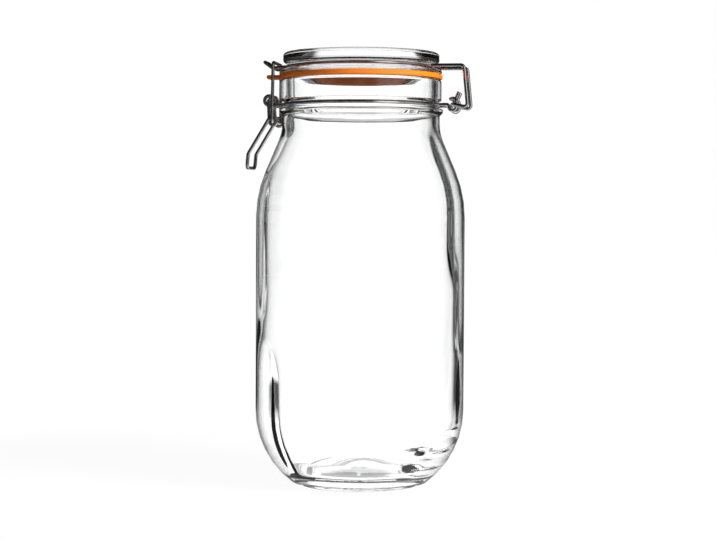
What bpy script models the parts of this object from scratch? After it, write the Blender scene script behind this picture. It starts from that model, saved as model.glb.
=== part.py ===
"""Clip-top preserving jar: a glass jar and lid, a rubber seal and four bent wires.

Metres, +Z up. The jar stands on z = 0 with its axis on Z. The hinge is on the +X side
and the clamp on the -X side. Each wire is laid out for the -Y half, then mirrored.
"""

import math

import bpy
from mathutils import Matrix, Vector

MM = 0.001

# Fits
FIT_GAP = 0.3 * MM  # between pieces that touch
GROOVE_PLAY = 0.65 * MM  # above and below the wire in the lid's groove
BAIL_PLAY = 0.95 * MM  # lets the bail dip as the lever passes its dead centre

# Glass jar
RIM_HEIGHT = 239.4 * MM
BODY_RADIUS = 61.9 * MM
BODY_WALL = 3.9 * MM
FINISH_RADIUS = 47.6 * MM  # outside of the rim, from which neck, lid, seal and wires take theirs
RIM_WIDTH = 5.1 * MM
RIM_ROUND = 1.5 * MM
NECK_INSET = 1.0 * MM
SHOULDER_DROP = 31.0 * MM
SHOULDER_SLOPE = math.radians(23)
SHOULDER_HOLLOW = 25.0 * MM
SHOULDER_ROUND = 70.0 * MM
BORE_CORNER_LIFT = 1.5 * MM
HEEL_ROUND = 53.0 * MM
HEEL_TURN = math.radians(53)
INNER_HEEL_ROUND = 50.0 * MM
INNER_HEEL_TURN = math.radians(40)
FLOOR_HEIGHT = 8.5 * MM
FLOOR_CROWN = 0.8 * MM
FLOOR_ROUND = 6.0 * MM
FOOT_HEIGHT = 1.8 * MM
FOOT_LEDGE = 4.4 * MM
FOOT_WIDTH = 4.6 * MM
FOOT_ROUND = 0.7 * MM
PUSH_UP = 3.0 * MM
PUSH_UP_RUN = 4.0 * MM

# Wire groove and bead under the jar's rim
NECK_WIRE_DROP = 15.0 * MM
GROOVE_DEPTH = 2.65 * MM
GROOVE_ABOVE = 2.8 * MM
GROOVE_BELOW = 2.3 * MM
GROOVE_FLOOR = 3.0 * MM
GROOVE_ROUND = 0.8 * MM
BEAD_PROUD = 0.9 * MM
BEAD_HEIGHT = 2.0 * MM
BEAD_UNDERSIDE = 1.3 * MM

# Rubber seal
SEAL_THICKNESS = 3.0 * MM
SEAL_OVERHANG = 0.6 * MM
SEAL_ROUND = 0.9 * MM
TAB_LENGTH = 8.0 * MM
TAB_WIDTH = 13.0 * MM
TAB_THICKNESS = 2.2 * MM
TAB_ROUND = 3.0 * MM
TAB_ROOT = 2.0 * MM

# Glass lid
LID_INSET = 1.4 * MM
LID_ROUND = 2.2 * MM
LID_TOP_RISE = 8.3 * MM
LID_WIRE_RISE = 4.0 * MM
LID_GROOVE_DEPTH = 4.05 * MM
LID_THICKNESS = 5.7 * MM
LID_DOME_ROUND = 6.0 * MM
FLANGE_OVERHANG = 0.2 * MM
FLANGE_ROUND = 1.2 * MM
PLUG_CLEARANCE = 0.9 * MM
PLUG_STRAIGHT = 3.3 * MM
PLUG_DEPTH = 4.6 * MM
PLUG_TAPER = 0.8 * MM
PLUG_WALL = 2.4 * MM
PLUG_ROUND = 0.8 * MM

# Wire stock
NECK_WIRE = 2.1 * MM
LID_WIRE = 2.1 * MM
LEVER_WIRE = 2.1 * MM
BAIL_WIRE = 2.0 * MM

# Clamp side
LEVER_STANDOFF = 6.4 * MM
EYE_RADIUS = 2.75 * MM
EYE_OFFSET = 6.8 * MM
CRANK_RUN = 3.0 * MM
CRANK_DROP = 12.1 * MM
COIL_RADIUS = 2.45 * MM
COIL_GAP = 0.45 * MM
HANDLE_SLOPE = math.radians(31)
HANDLE_LENGTH = 24.4 * MM
HANDLE_TIP_SLOPE = math.radians(5)
HANDLE_TIP = 8.2 * MM
PIN_END = 0.2 * MM
BAIL_LEAN = 0.4 * MM
BAIL_TAPER = 1.5 * MM
TONGUE_HALF_WIDTH = 7.5 * MM
TONGUE_DIP = 0.7 * MM
TONGUE_SEAT = 1.4 * MM
TONGUE_RUN = 5.0 * MM
TONGUE_RISE = 3.7 * MM

# Hinge side
HINGE_STANDOFF = 7.6 * MM
RING_OFFSET = 9.6 * MM
RING_HALF_WIDTH = 2.75 * MM
RING_HALF_HEIGHT = 3.6 * MM
RING_TILT = math.radians(25)
RING_TAIL = math.radians(130)
RING_LEAD = math.radians(-150)
ARM_TOP_RUN = 6.7 * MM
ARM_FOOT_RUN = 9.1 * MM
ARM_FOOT_DROP = 1.8 * MM
ARM_END_RUN = 3.4 * MM
ARM_END_RISE = 7.6 * MM

# Longest straight piece that a wide round is drawn with
LONGEST_CHORD = 8.0 * MM

# Bends, as the radius of the wire's centre line
TIGHT_BEND = 1.3 * MM
BEND = 2.0 * MM
WIDE_BEND = 3.2 * MM

# Counts
TURN_SEGMENTS = 48
ARC_STEP = math.radians(360 / TURN_SEGMENTS)
LOOP_STEP = math.radians(24)
BEND_STEP = math.radians(30)
ROUND_STEP = math.radians(45)

# Heights and radii that several pieces share
SEAL_BOTTOM = RIM_HEIGHT + FIT_GAP
SEAL_TOP = SEAL_BOTTOM + SEAL_THICKNESS
LID_FACE = SEAL_TOP + FIT_GAP
LID_WIRE_HEIGHT = LID_FACE + LID_WIRE_RISE
NECK_WIRE_HEIGHT = RIM_HEIGHT - NECK_WIRE_DROP
NECK_RADIUS = FINISH_RADIUS - NECK_INSET
BORE_RADIUS = FINISH_RADIUS - RIM_WIDTH
NECK_GROOVE_RADIUS = FINISH_RADIUS - GROOVE_DEPTH
BEAD_RADIUS = FINISH_RADIUS + BEAD_PROUD
LID_RADIUS = FINISH_RADIUS - LID_INSET
LID_GROOVE_RADIUS = LID_RADIUS - LID_GROOVE_DEPTH
FLANGE_RADIUS = FINISH_RADIUS + FLANGE_OVERHANG
LID_RING_RADIUS = LID_GROOVE_RADIUS + FIT_GAP + LID_WIRE / 2
NECK_RING_RADIUS = NECK_GROOVE_RADIUS + FIT_GAP + NECK_WIRE / 2
PLUG_RADIUS = BORE_RADIUS - PLUG_CLEARANCE
SEAL_RADIUS = FINISH_RADIUS + SEAL_OVERHANG

# Joint axes, all along Y
HINGE_AXIS = Vector((FINISH_RADIUS + HINGE_STANDOFF, 0, NECK_WIRE_HEIGHT))
LEVER_AXIS = Vector((-FINISH_RADIUS - LEVER_STANDOFF, 0, NECK_WIRE_HEIGHT + EYE_RADIUS))
BAIL_AXIS = LEVER_AXIS + Vector((CRANK_RUN, 0, -CRANK_DROP))

# Where each wire runs, as distances from the XZ plane
EYE_INNER_OFFSET = EYE_OFFSET - NECK_WIRE - FIT_GAP
LEVER_ARM_OFFSET = EYE_OFFSET + NECK_WIRE / 2 + FIT_GAP + LEVER_WIRE / 2
HANDLE_OFFSET = LEVER_ARM_OFFSET + LEVER_WIRE + COIL_GAP
BAIL_OFFSET = HANDLE_OFFSET + LEVER_WIRE / 2 + FIT_GAP + BAIL_WIRE / 2
RING_REACH = RING_HALF_WIDTH * math.sin(RING_TILT) + NECK_WIRE / 2
ARM_OFFSET = RING_OFFSET + RING_REACH + FIT_GAP + LID_WIRE / 2
ARM_END_OFFSET = RING_OFFSET - RING_REACH - FIT_GAP - LID_WIRE / 2


def clear_scene():
    for obj in list(bpy.data.objects):
        bpy.data.objects.remove(obj)


def new_collection(name, hidden=False):
    collection = bpy.data.collections.new(name)
    bpy.context.scene.collection.children.link(collection)
    collection.hide_render = hidden
    return collection


def material(name, colour, roughness, metallic=0.0, transmission=0.0):
    made = bpy.data.materials.new(name)
    made.use_nodes = True
    shader = made.node_tree.nodes["Principled BSDF"]
    shader.inputs["Base Color"].default_value = (*colour, 1.0)
    shader.inputs["Roughness"].default_value = roughness
    shader.inputs["Metallic"].default_value = metallic
    shader.inputs["Transmission Weight"].default_value = transmission
    made.diffuse_color = (*colour, 1.0)
    return made


def rounded(corners, step):
    """The path through (point, radius) corners, each rounded by an arc that its legs have room for."""
    points = [Vector(point) for point, _ in corners]
    turns = [0.0] * len(points)
    reach = [0.0] * len(points)
    for i in range(1, len(points) - 1):
        before = points[i - 1] - points[i]
        after = points[i + 1] - points[i]
        turns[i] = math.pi - before.angle(after)
        reach[i] = corners[i][1] * math.tan(turns[i] / 2)
    legs = [(b - a).length for a, b in zip(points, points[1:])]
    room = [min(1.0, leg / max(reach[i] + reach[i + 1], leg)) for i, leg in enumerate(legs)]
    path = [points[0]]
    for i in range(1, len(points) - 1):
        back = (points[i - 1] - points[i]).normalized()
        on = (points[i + 1] - points[i]).normalized()
        length = reach[i] * min(room[i - 1], room[i])
        if not length:
            path.append(points[i])
            continue
        path += bend_points(points[i], back, on, length, turns[i], step)
    path.append(points[-1])
    return path


def bend_points(corner, back, on, length, turn, step):
    """Points of the arc that leaves one leg and joins the other, at this length from the corner."""
    radius = length / math.tan(turn / 2)
    centre = corner + (back + on).normalized() * radius / math.cos(turn / 2)
    first = corner + back * length - centre
    last = corner + on * length - centre
    steps = max(math.ceil(turn / step), math.ceil(radius * turn / LONGEST_CHORD))
    return [centre + first.slerp(last, i / steps) * radius for i in range(steps + 1)]


def loop_points(centre, half_width, half_height, start, sweep, tilt=0.0):
    """Points of an upright loop, from its start angle. The tilt turns its plane about Z."""
    steps = math.ceil(abs(sweep) / LOOP_STEP)
    points = []
    for i in range(steps + 1):
        angle = start + sweep * i / steps
        across = half_width * math.cos(angle)
        up = half_height * math.sin(angle)
        points.append(centre + Vector((across * math.cos(tilt), -across * math.sin(tilt), up)))
    return points


def groove_points(radius, height, first_offset, last_offset):
    """Near-side points of a wire in its groove, from its +X end to its -X end, both left out.

    Each offset is the distance from the XZ plane at which the wire enters or leaves."""
    start = -math.asin(first_offset / radius)
    end = -math.pi + math.asin(last_offset / radius)
    steps = math.ceil((start - end) / ARC_STEP)
    angles = [start + (end - start) * i / steps for i in range(1, steps)]
    return [Vector((radius * math.cos(a), radius * math.sin(a), height)) for a in angles]


def groove_gate(radius, height, offset, side):
    """The point of the near groove at this distance from the XZ plane, on the given side in X."""
    return Vector((side * math.sqrt(radius**2 - offset**2), -offset, height))


def plain(points):
    return [(point, 0.0) for point in points]


def mirrored(half):
    """The whole wire: its near half, which ends on the XZ plane, then the same points on the far side."""
    mirror = Matrix.Diagonal((1, -1, 1))
    return half + [mirror @ point for point in reversed(half[:-1])]


def turned(name, corners, finish, collection):
    """A solid of revolution: its outline runs from the axis, down the outer side, back to the axis."""
    path = rounded([((x, 0, z), radius) for x, z, radius in corners], ROUND_STEP)
    mesh = bpy.data.meshes.new(name)
    mesh.from_pydata(path, [(i, i + 1) for i in range(len(path) - 1)], [])
    mesh.materials.append(finish)
    obj = bpy.data.objects.new(name, mesh)
    collection.objects.link(obj)
    screw = obj.modifiers.new("turn", "SCREW")
    screw.steps = TURN_SEGMENTS
    screw.render_steps = TURN_SEGMENTS
    screw.use_merge_vertices = True
    screw.merge_threshold = FIT_GAP / 10
    screw.use_smooth_shade = True
    return obj


def wire(name, path, diameter, finish, collection, axis):
    """A bent round wire, whose origin lies on the axis that it turns about."""
    curve = bpy.data.curves.new(name, "CURVE")
    curve.dimensions = "3D"
    curve.bevel_depth = diameter / 2
    curve.bevel_resolution = 1
    curve.use_fill_caps = True
    spline = curve.splines.new("POLY")
    spline.points.add(len(path) - 1)
    for spot, point in zip(spline.points, path):
        spot.co = (*(point - axis), 1.0)
    curve.materials.append(finish)
    obj = bpy.data.objects.new(name, curve)
    obj.location = axis
    collection.objects.link(obj)
    return obj


def jar_outline():
    """The jar's section, from the middle of its floor, up the inside and down the outside."""
    inner_radius = BODY_RADIUS - BODY_WALL
    slope = math.tan(SHOULDER_SLOPE)
    neck_corner = RIM_HEIGHT - SHOULDER_DROP
    body_corner = neck_corner - (BODY_RADIUS - NECK_RADIUS) / slope
    bore_corner = neck_corner + BORE_CORNER_LIFT
    inner_corner = bore_corner - (inner_radius - BORE_RADIUS) / slope
    heel_start = FOOT_HEIGHT + HEEL_ROUND * math.sin(HEEL_TURN)
    heel_corner = heel_start - HEEL_ROUND * math.tan(HEEL_TURN / 2)
    heel_end = BODY_RADIUS - HEEL_ROUND * (1 - math.cos(HEEL_TURN))
    inner_heel = heel_start - INNER_HEEL_ROUND * math.tan(INNER_HEEL_TURN / 2)
    floor_edge = inner_radius - (inner_heel - FLOOR_HEIGHT) * math.tan(INNER_HEEL_TURN)
    foot = heel_end - FOOT_LEDGE
    wire_height = NECK_WIRE_HEIGHT
    bead_bottom = wire_height - GROOVE_BELOW - BEAD_HEIGHT
    return [
        (0, FLOOR_HEIGHT + FLOOR_CROWN, 0),
        (floor_edge, FLOOR_HEIGHT, FLOOR_ROUND),
        (inner_radius, inner_heel, INNER_HEEL_ROUND),
        (inner_radius, inner_corner, SHOULDER_ROUND),
        (BORE_RADIUS, bore_corner, SHOULDER_HOLLOW),
        (BORE_RADIUS, RIM_HEIGHT, RIM_ROUND),
        (FINISH_RADIUS, RIM_HEIGHT, RIM_ROUND),
        (FINISH_RADIUS, wire_height + GROOVE_ABOVE, GROOVE_ROUND),
        (NECK_GROOVE_RADIUS, wire_height + GROOVE_FLOOR / 2, GROOVE_ROUND),
        (NECK_GROOVE_RADIUS, wire_height - GROOVE_FLOOR / 2, GROOVE_ROUND),
        (BEAD_RADIUS, wire_height - GROOVE_BELOW, GROOVE_ROUND),
        (BEAD_RADIUS, bead_bottom, GROOVE_ROUND),
        (NECK_RADIUS, bead_bottom - BEAD_UNDERSIDE, GROOVE_ROUND),
        (NECK_RADIUS, neck_corner, SHOULDER_HOLLOW),
        (BODY_RADIUS, body_corner, SHOULDER_ROUND),
        (BODY_RADIUS, heel_corner, HEEL_ROUND),
        (heel_end, FOOT_HEIGHT, 0),
        (foot, FOOT_HEIGHT, FOOT_ROUND),
        (foot, 0, FOOT_ROUND),
        (foot - FOOT_WIDTH, 0, FOOT_ROUND),
        (foot - FOOT_WIDTH - PUSH_UP_RUN, PUSH_UP, PUSH_UP),
        (0, PUSH_UP, 0),
    ]


def make_jar(finish, collection):
    return turned("glass_jar", jar_outline(), finish, collection)


def lid_outline():
    """The lid's section, from the middle of its top, down the outside and back up inside the plug."""
    top = LID_WIRE_HEIGHT + LID_TOP_RISE
    disc_bottom = LID_WIRE_HEIGHT + LID_WIRE / 2 + GROOVE_PLAY
    flange_top = LID_WIRE_HEIGHT - LID_WIRE / 2 - GROOVE_PLAY
    plug_bottom = LID_FACE - PLUG_DEPTH
    plug_inner = PLUG_RADIUS - PLUG_TAPER - PLUG_WALL
    ceiling = top - LID_THICKNESS
    return [
        (0, top, 0),
        (LID_RADIUS, top, LID_ROUND),
        (LID_RADIUS, disc_bottom, LID_ROUND),
        (LID_GROOVE_RADIUS, disc_bottom, GROOVE_PLAY),
        (LID_GROOVE_RADIUS, flange_top, GROOVE_PLAY),
        (FLANGE_RADIUS, flange_top, FLANGE_ROUND),
        (FLANGE_RADIUS, LID_FACE, PLUG_ROUND),
        (PLUG_RADIUS, LID_FACE, 0),
        (PLUG_RADIUS, LID_FACE - PLUG_STRAIGHT, PLUG_ROUND),
        (PLUG_RADIUS - PLUG_TAPER, plug_bottom, PLUG_ROUND),
        (plug_inner, plug_bottom, PLUG_ROUND),
        (plug_inner, ceiling, LID_DOME_ROUND),
        (0, ceiling, 0),
    ]


def make_lid(finish, collection):
    return turned("glass_lid", lid_outline(), finish, collection)


def seal_outline():
    """The seal's closed section, which starts and ends in the middle of its bore."""
    bore = PLUG_RADIUS + FIT_GAP
    middle = (SEAL_BOTTOM + SEAL_TOP) / 2
    return [
        (bore, middle, 0),
        (bore, SEAL_TOP, SEAL_ROUND),
        (SEAL_RADIUS, SEAL_TOP, SEAL_ROUND),
        (SEAL_RADIUS, SEAL_BOTTOM, SEAL_ROUND),
        (bore, SEAL_BOTTOM, SEAL_ROUND),
        (bore, middle, 0),
    ]


def make_tab(collection):
    """The pull tab as a solid of its own, rooted inside the ring of the seal."""
    tip = -SEAL_RADIUS - TAB_LENGTH
    root = -SEAL_RADIUS + TAB_ROOT
    half = TAB_WIDTH / 2
    corners = [
        (root, -half, 0),
        (root, half, 0),
        (tip, half, TAB_ROUND),
        (tip, -half, TAB_ROUND),
        (root, -half, 0),
    ]
    outline = rounded([((x, y, 0), radius) for x, y, radius in corners], BEND_STEP)[:-1]
    curve = bpy.data.curves.new("seal_tab", "CURVE")
    curve.dimensions = "2D"
    curve.fill_mode = "BOTH"
    curve.extrude = TAB_THICKNESS / 2
    spline = curve.splines.new("POLY")
    spline.use_cyclic_u = True
    spline.points.add(len(outline) - 1)
    for spot, point in zip(spline.points, outline):
        spot.co = (point.x, point.y, 0, 1)
    drawn = bpy.data.objects.new("seal_tab_outline", curve)
    drawn.location.z = (SEAL_BOTTOM + SEAL_TOP) / 2
    collection.objects.link(drawn)
    return solid_copy(drawn, "seal_tab", collection)


def solid_copy(drawn, name, collection):
    """A mesh object made from a curve, with its caps welded. The curve goes."""
    bpy.context.view_layer.update()
    graph = bpy.context.evaluated_depsgraph_get()
    mesh = bpy.data.meshes.new_from_object(drawn.evaluated_get(graph))
    obj = bpy.data.objects.new(name, mesh)
    obj.matrix_world = drawn.matrix_world
    collection.objects.link(obj)
    bpy.data.objects.remove(drawn)
    weld = obj.modifiers.new("weld", "WELD")
    weld.merge_threshold = FIT_GAP / 100
    obj.display_type = "WIRE"
    obj.hide_render = True
    return obj


def make_seal(finish, collection, helpers):
    seal = turned("rubber_seal", seal_outline(), finish, collection)
    join = seal.modifiers.new("tab", "BOOLEAN")
    join.operation = "UNION"
    join.solver = "EXACT"
    join.object = make_tab(helpers)
    return seal


def hinge_ring():
    """The near end of the neck wire: a ring round the hinge axis, and the point where it meets its stem."""
    centre = HINGE_AXIS + Vector((0, -RING_OFFSET, 0))
    sweep = RING_LEAD - RING_TAIL
    ring = loop_points(centre, RING_HALF_WIDTH, RING_HALF_HEIGHT, RING_TAIL, sweep, RING_TILT)
    across = Vector((-math.cos(RING_TILT), math.sin(RING_TILT), 0))
    return ring, centre + across * RING_HALF_WIDTH


def lever_eye():
    """The near eye of the neck wire: once round the lever's axis, stepping inwards over its top."""
    outer = LEVER_AXIS + Vector((0, -EYE_OFFSET, 0))
    over = loop_points(outer, EYE_RADIUS, EYE_RADIUS, -math.pi / 2, -math.pi)
    down = loop_points(outer, EYE_RADIUS, EYE_RADIUS, math.pi / 2, -math.pi / 2)
    for i, point in enumerate(down):
        point.y += (EYE_OFFSET - EYE_INNER_OFFSET) * i / (len(down) - 1)
    return over + down[1:]


def make_neck_wire(finish, collection):
    height = NECK_WIRE_HEIGHT
    radius = NECK_RING_RADIUS
    ring, stem = hinge_ring()
    eye = lever_eye()
    stem_offset = -stem.y
    foot = Vector((eye[-1].x, eye[-1].y, height))
    corners = plain(ring)
    corners.append((stem, TIGHT_BEND))
    corners.append((groove_gate(radius, height, stem_offset, 1), BEND))
    corners += plain(groove_points(radius, height, stem_offset, EYE_OFFSET))
    corners.append((groove_gate(radius, height, EYE_OFFSET, -1), TIGHT_BEND))
    corners += plain(eye)
    corners.append((foot, TIGHT_BEND))
    corners.append((groove_gate(radius, height, EYE_INNER_OFFSET, -1), TIGHT_BEND))
    corners.append((Vector((-radius, 0, height)), 0.0))
    half = rounded(corners, BEND_STEP)
    path = mirrored(half)
    return wire("neck_wire", path, NECK_WIRE, finish, collection, Vector((0, 0, height)))


def make_lid_wire(finish, collection):
    height = LID_WIRE_HEIGHT
    radius = LID_RING_RADIUS
    axis = HINGE_AXIS
    seat_x = BAIL_AXIS.x + BAIL_LEAN - TONGUE_SEAT
    seat_height = height - TONGUE_DIP
    end = Vector((axis.x + ARM_END_RUN, -ARM_END_OFFSET, axis.z + ARM_END_RISE))
    corners = [
        (end, 0.0),
        (Vector((axis.x, -ARM_END_OFFSET, axis.z)), TIGHT_BEND),
        (Vector((axis.x, -ARM_OFFSET, axis.z)), TIGHT_BEND),
        (Vector((axis.x + ARM_FOOT_RUN, -ARM_OFFSET, axis.z - ARM_FOOT_DROP)), BEND),
        (Vector((axis.x + ARM_TOP_RUN, -ARM_OFFSET, height)), BEND),
        (groove_gate(radius, height, ARM_OFFSET, 1), BEND),
    ]
    corners += plain(groove_points(radius, height, ARM_OFFSET, TONGUE_HALF_WIDTH))
    corners += [
        (groove_gate(radius, height, TONGUE_HALF_WIDTH, -1), TIGHT_BEND),
        (Vector((seat_x, -TONGUE_HALF_WIDTH, seat_height)), TIGHT_BEND),
        (Vector((seat_x - TONGUE_RUN, -TONGUE_HALF_WIDTH, seat_height + TONGUE_RISE)), WIDE_BEND),
        (Vector((seat_x - TONGUE_RUN, 0, seat_height + TONGUE_RISE)), 0.0),
    ]
    half = rounded(corners, BEND_STEP)
    return wire("lid_wire", mirrored(half), LID_WIRE, finish, collection, axis)


def make_lever(finish, collection):
    """Pivot end through the eye, arm down outside it, once round the coil stepping outwards, finger loop."""
    pivot = LEVER_AXIS
    pin_tip = EYE_INNER_OFFSET - NECK_WIRE / 2 - PIN_END
    coil_centre = BAIL_AXIS + Vector((0, -LEVER_ARM_OFFSET, 0))
    coil = loop_points(coil_centre, COIL_RADIUS, COIL_RADIUS, math.pi, 2 * math.pi - HANDLE_SLOPE)
    for i, point in enumerate(coil):
        point.y -= (HANDLE_OFFSET - LEVER_ARM_OFFSET) * i / (len(coil) - 1)
    down = Vector((-math.sin(HANDLE_SLOPE), 0, -math.cos(HANDLE_SLOPE)))
    knee = coil[-1] + down * HANDLE_LENGTH
    tip_down = Vector((-math.sin(HANDLE_TIP_SLOPE), 0, -math.cos(HANDLE_TIP_SLOPE)))
    tip = knee + tip_down * HANDLE_TIP
    corners = [
        (pivot + Vector((0, -pin_tip, 0)), 0.0),
        (pivot + Vector((0, -LEVER_ARM_OFFSET, 0)), TIGHT_BEND),
    ]
    corners += plain(coil)
    corners += [(knee, WIDE_BEND), (tip, WIDE_BEND), (Vector((tip.x, 0, tip.z)), 0.0)]
    half = rounded(corners, BEND_STEP)
    return wire("clamp_lever", mirrored(half), LEVER_WIRE, finish, collection, pivot)


def make_bail(finish, collection):
    """Pins through the lever's coils, legs up past the seal, and a bar over the tongue."""
    foot = BAIL_AXIS
    pin_tip = LEVER_ARM_OFFSET - LEVER_WIRE / 2 - PIN_END
    tongue_height = LID_WIRE_HEIGHT - TONGUE_DIP
    bar_height = tongue_height + LID_WIRE / 2 + BAIL_PLAY + BAIL_WIRE / 2
    bar_x = foot.x + BAIL_LEAN
    bar_end = BAIL_OFFSET - BAIL_TAPER
    corners = [
        (foot + Vector((0, -pin_tip, 0)), 0.0),
        (foot + Vector((0, -BAIL_OFFSET, 0)), TIGHT_BEND),
        (Vector((bar_x, -bar_end, bar_height)), BEND),
        (Vector((bar_x, 0, bar_height)), 0.0),
    ]
    half = rounded(corners, BEND_STEP)
    return wire("wire_bail", mirrored(half), BAIL_WIRE, finish, collection, foot)


def axis_empty(name, place, collection):
    """An empty that marks a joint's axis. Its Y axis is the joint's."""
    empty = bpy.data.objects.new(name, None)
    empty.location = place
    empty.empty_display_size = BODY_RADIUS / 4
    collection.objects.link(empty)
    return empty


def hold(parent, *children):
    """Parents pieces without moving them."""
    bpy.context.view_layer.update()
    for child in children:
        child.parent = parent
        child.matrix_parent_inverse = parent.matrix_world.inverted()


def main():
    clear_scene()
    parts = new_collection("clip_top_jar")
    helpers = new_collection("helpers", hidden=True)
    glass = material("clear_glass", (0.93, 0.95, 0.95), 0.03, transmission=1.0)
    rubber = material("orange_rubber", (0.87, 0.27, 0.02), 0.55)
    steel = material("steel_wire", (0.55, 0.55, 0.56), 0.25, metallic=1.0)

    jar = make_jar(glass, parts)
    neck_wire = make_neck_wire(steel, parts)
    lid = make_lid(glass, parts)
    seal = make_seal(rubber, parts, helpers)
    lid_wire = make_lid_wire(steel, parts)
    lever = make_lever(steel, parts)
    bail = make_bail(steel, parts)

    lid_axis = axis_empty("lid_hinge_axis", HINGE_AXIS, parts)
    hold(lid_axis, lid, seal, lid_wire)
    hold(jar, neck_wire, lid_axis, lever)
    hold(lever, bail)


main()
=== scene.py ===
"""Looks of the clip-top preserving jar: smooth glass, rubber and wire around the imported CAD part.

Sizes are in metres, in the part's own frame: the jar stands on z = 0 with its axis on Z,
its hinge on the +X side, its clamp on the -X side and its front towards -Y.
"""

import math

import bpy
from mathutils import Matrix, Vector, noise

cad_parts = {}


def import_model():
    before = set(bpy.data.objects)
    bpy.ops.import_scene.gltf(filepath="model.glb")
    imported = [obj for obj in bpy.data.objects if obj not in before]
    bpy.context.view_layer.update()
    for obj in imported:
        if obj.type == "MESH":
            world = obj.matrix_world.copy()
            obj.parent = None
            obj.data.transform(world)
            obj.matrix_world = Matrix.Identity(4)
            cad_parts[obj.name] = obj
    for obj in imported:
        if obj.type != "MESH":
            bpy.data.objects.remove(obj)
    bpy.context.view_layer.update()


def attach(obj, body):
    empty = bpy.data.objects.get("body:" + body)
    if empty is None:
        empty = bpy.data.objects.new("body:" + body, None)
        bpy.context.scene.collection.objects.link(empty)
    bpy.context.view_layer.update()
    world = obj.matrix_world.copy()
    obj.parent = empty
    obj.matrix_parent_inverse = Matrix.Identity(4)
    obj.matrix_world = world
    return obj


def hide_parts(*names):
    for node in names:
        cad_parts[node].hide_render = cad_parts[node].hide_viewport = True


MM = 0.001

# Fits
FIT_GAP = 0.3 * MM
GROOVE_PLAY = 0.65 * MM
BAIL_PLAY = 0.95 * MM

# Glass jar
RIM_HEIGHT = 239.4 * MM
BODY_RADIUS = 61.9 * MM
BODY_WALL = 3.9 * MM
FINISH_RADIUS = 47.6 * MM
NECK_RADIUS = FINISH_RADIUS - 1.0 * MM
BORE_RADIUS = FINISH_RADIUS - 5.1 * MM
RIM_ROUND = 1.5 * MM
SHOULDER_DROP = 31.0 * MM
SHOULDER_SLOPE = math.radians(23)
SHOULDER_HOLLOW = 25.0 * MM
SHOULDER_ROUND = 70.0 * MM
BORE_CORNER_LIFT = 1.5 * MM
HEEL_ROUND = 53.0 * MM
HEEL_TURN = math.radians(53)
INNER_HEEL_ROUND = 50.0 * MM
INNER_HEEL_TURN = math.radians(40)
FLOOR_HEIGHT = 8.5 * MM
FLOOR_CROWN = 0.8 * MM
FLOOR_ROUND = 6.0 * MM
FOOT_HEIGHT = 1.8 * MM
FOOT_LEDGE = 4.4 * MM
FOOT_WIDTH = 4.6 * MM
FOOT_ROUND = 0.7 * MM
PUSH_UP = 3.0 * MM
PUSH_UP_RUN = 4.0 * MM

# Wire groove and bead under the jar's rim
NECK_WIRE_HEIGHT = RIM_HEIGHT - 15.0 * MM
NECK_GROOVE_RADIUS = FINISH_RADIUS - 2.65 * MM
GROOVE_ABOVE = 2.8 * MM
GROOVE_BELOW = 2.3 * MM
GROOVE_FLOOR = 3.0 * MM
GROOVE_ROUND = 0.8 * MM
BEAD_RADIUS = FINISH_RADIUS + 0.9 * MM
BEAD_HEIGHT = 2.0 * MM
BEAD_UNDERSIDE = 2.0 * MM

# Rubber seal
SEAL_BOTTOM = RIM_HEIGHT + FIT_GAP
SEAL_TOP = SEAL_BOTTOM + 3.0 * MM
SEAL_RADIUS = FINISH_RADIUS + 0.6 * MM
SEAL_ROUND = 0.9 * MM
TAB_LENGTH = 8.0 * MM
TAB_WIDTH = 13.0 * MM
TAB_THICKNESS = 2.2 * MM
TAB_ROUND = 3.0 * MM
TAB_ROOT = 2.0 * MM
TAB_EDGE = TAB_THICKNESS / 3

# Glass lid
LID_FACE = SEAL_TOP + FIT_GAP
LID_WIRE_HEIGHT = LID_FACE + 4.0 * MM
LID_RADIUS = FINISH_RADIUS - 1.4 * MM
LID_ROUND = 2.2 * MM
LID_TOP_RISE = 8.3 * MM
LID_GROOVE_RADIUS = LID_RADIUS - 4.05 * MM
LID_THICKNESS = 5.7 * MM
LID_DOME_ROUND = 6.0 * MM
FLANGE_RADIUS = FINISH_RADIUS + 0.2 * MM
FLANGE_ROUND = 1.2 * MM
PLUG_RADIUS = BORE_RADIUS - 0.9 * MM
PLUG_STRAIGHT = 3.3 * MM
PLUG_DEPTH = 4.6 * MM
PLUG_TAPER = 0.8 * MM
PLUG_WALL = 2.4 * MM
PLUG_ROUND = 0.8 * MM

# Wires
NECK_WIRE = 2.1 * MM
LID_WIRE = 2.1 * MM
LEVER_WIRE = 2.1 * MM
BAIL_WIRE = 2.0 * MM
LID_RING_RADIUS = LID_GROOVE_RADIUS + FIT_GAP + LID_WIRE / 2
NECK_RING_RADIUS = NECK_GROOVE_RADIUS + FIT_GAP + NECK_WIRE / 2

# Ends of the wires: how far the easing reaches, in diameters, and how thin the tip is
WIRE_END_EASE = 1 / 8
WIRE_END_SHARE = 0.8

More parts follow.
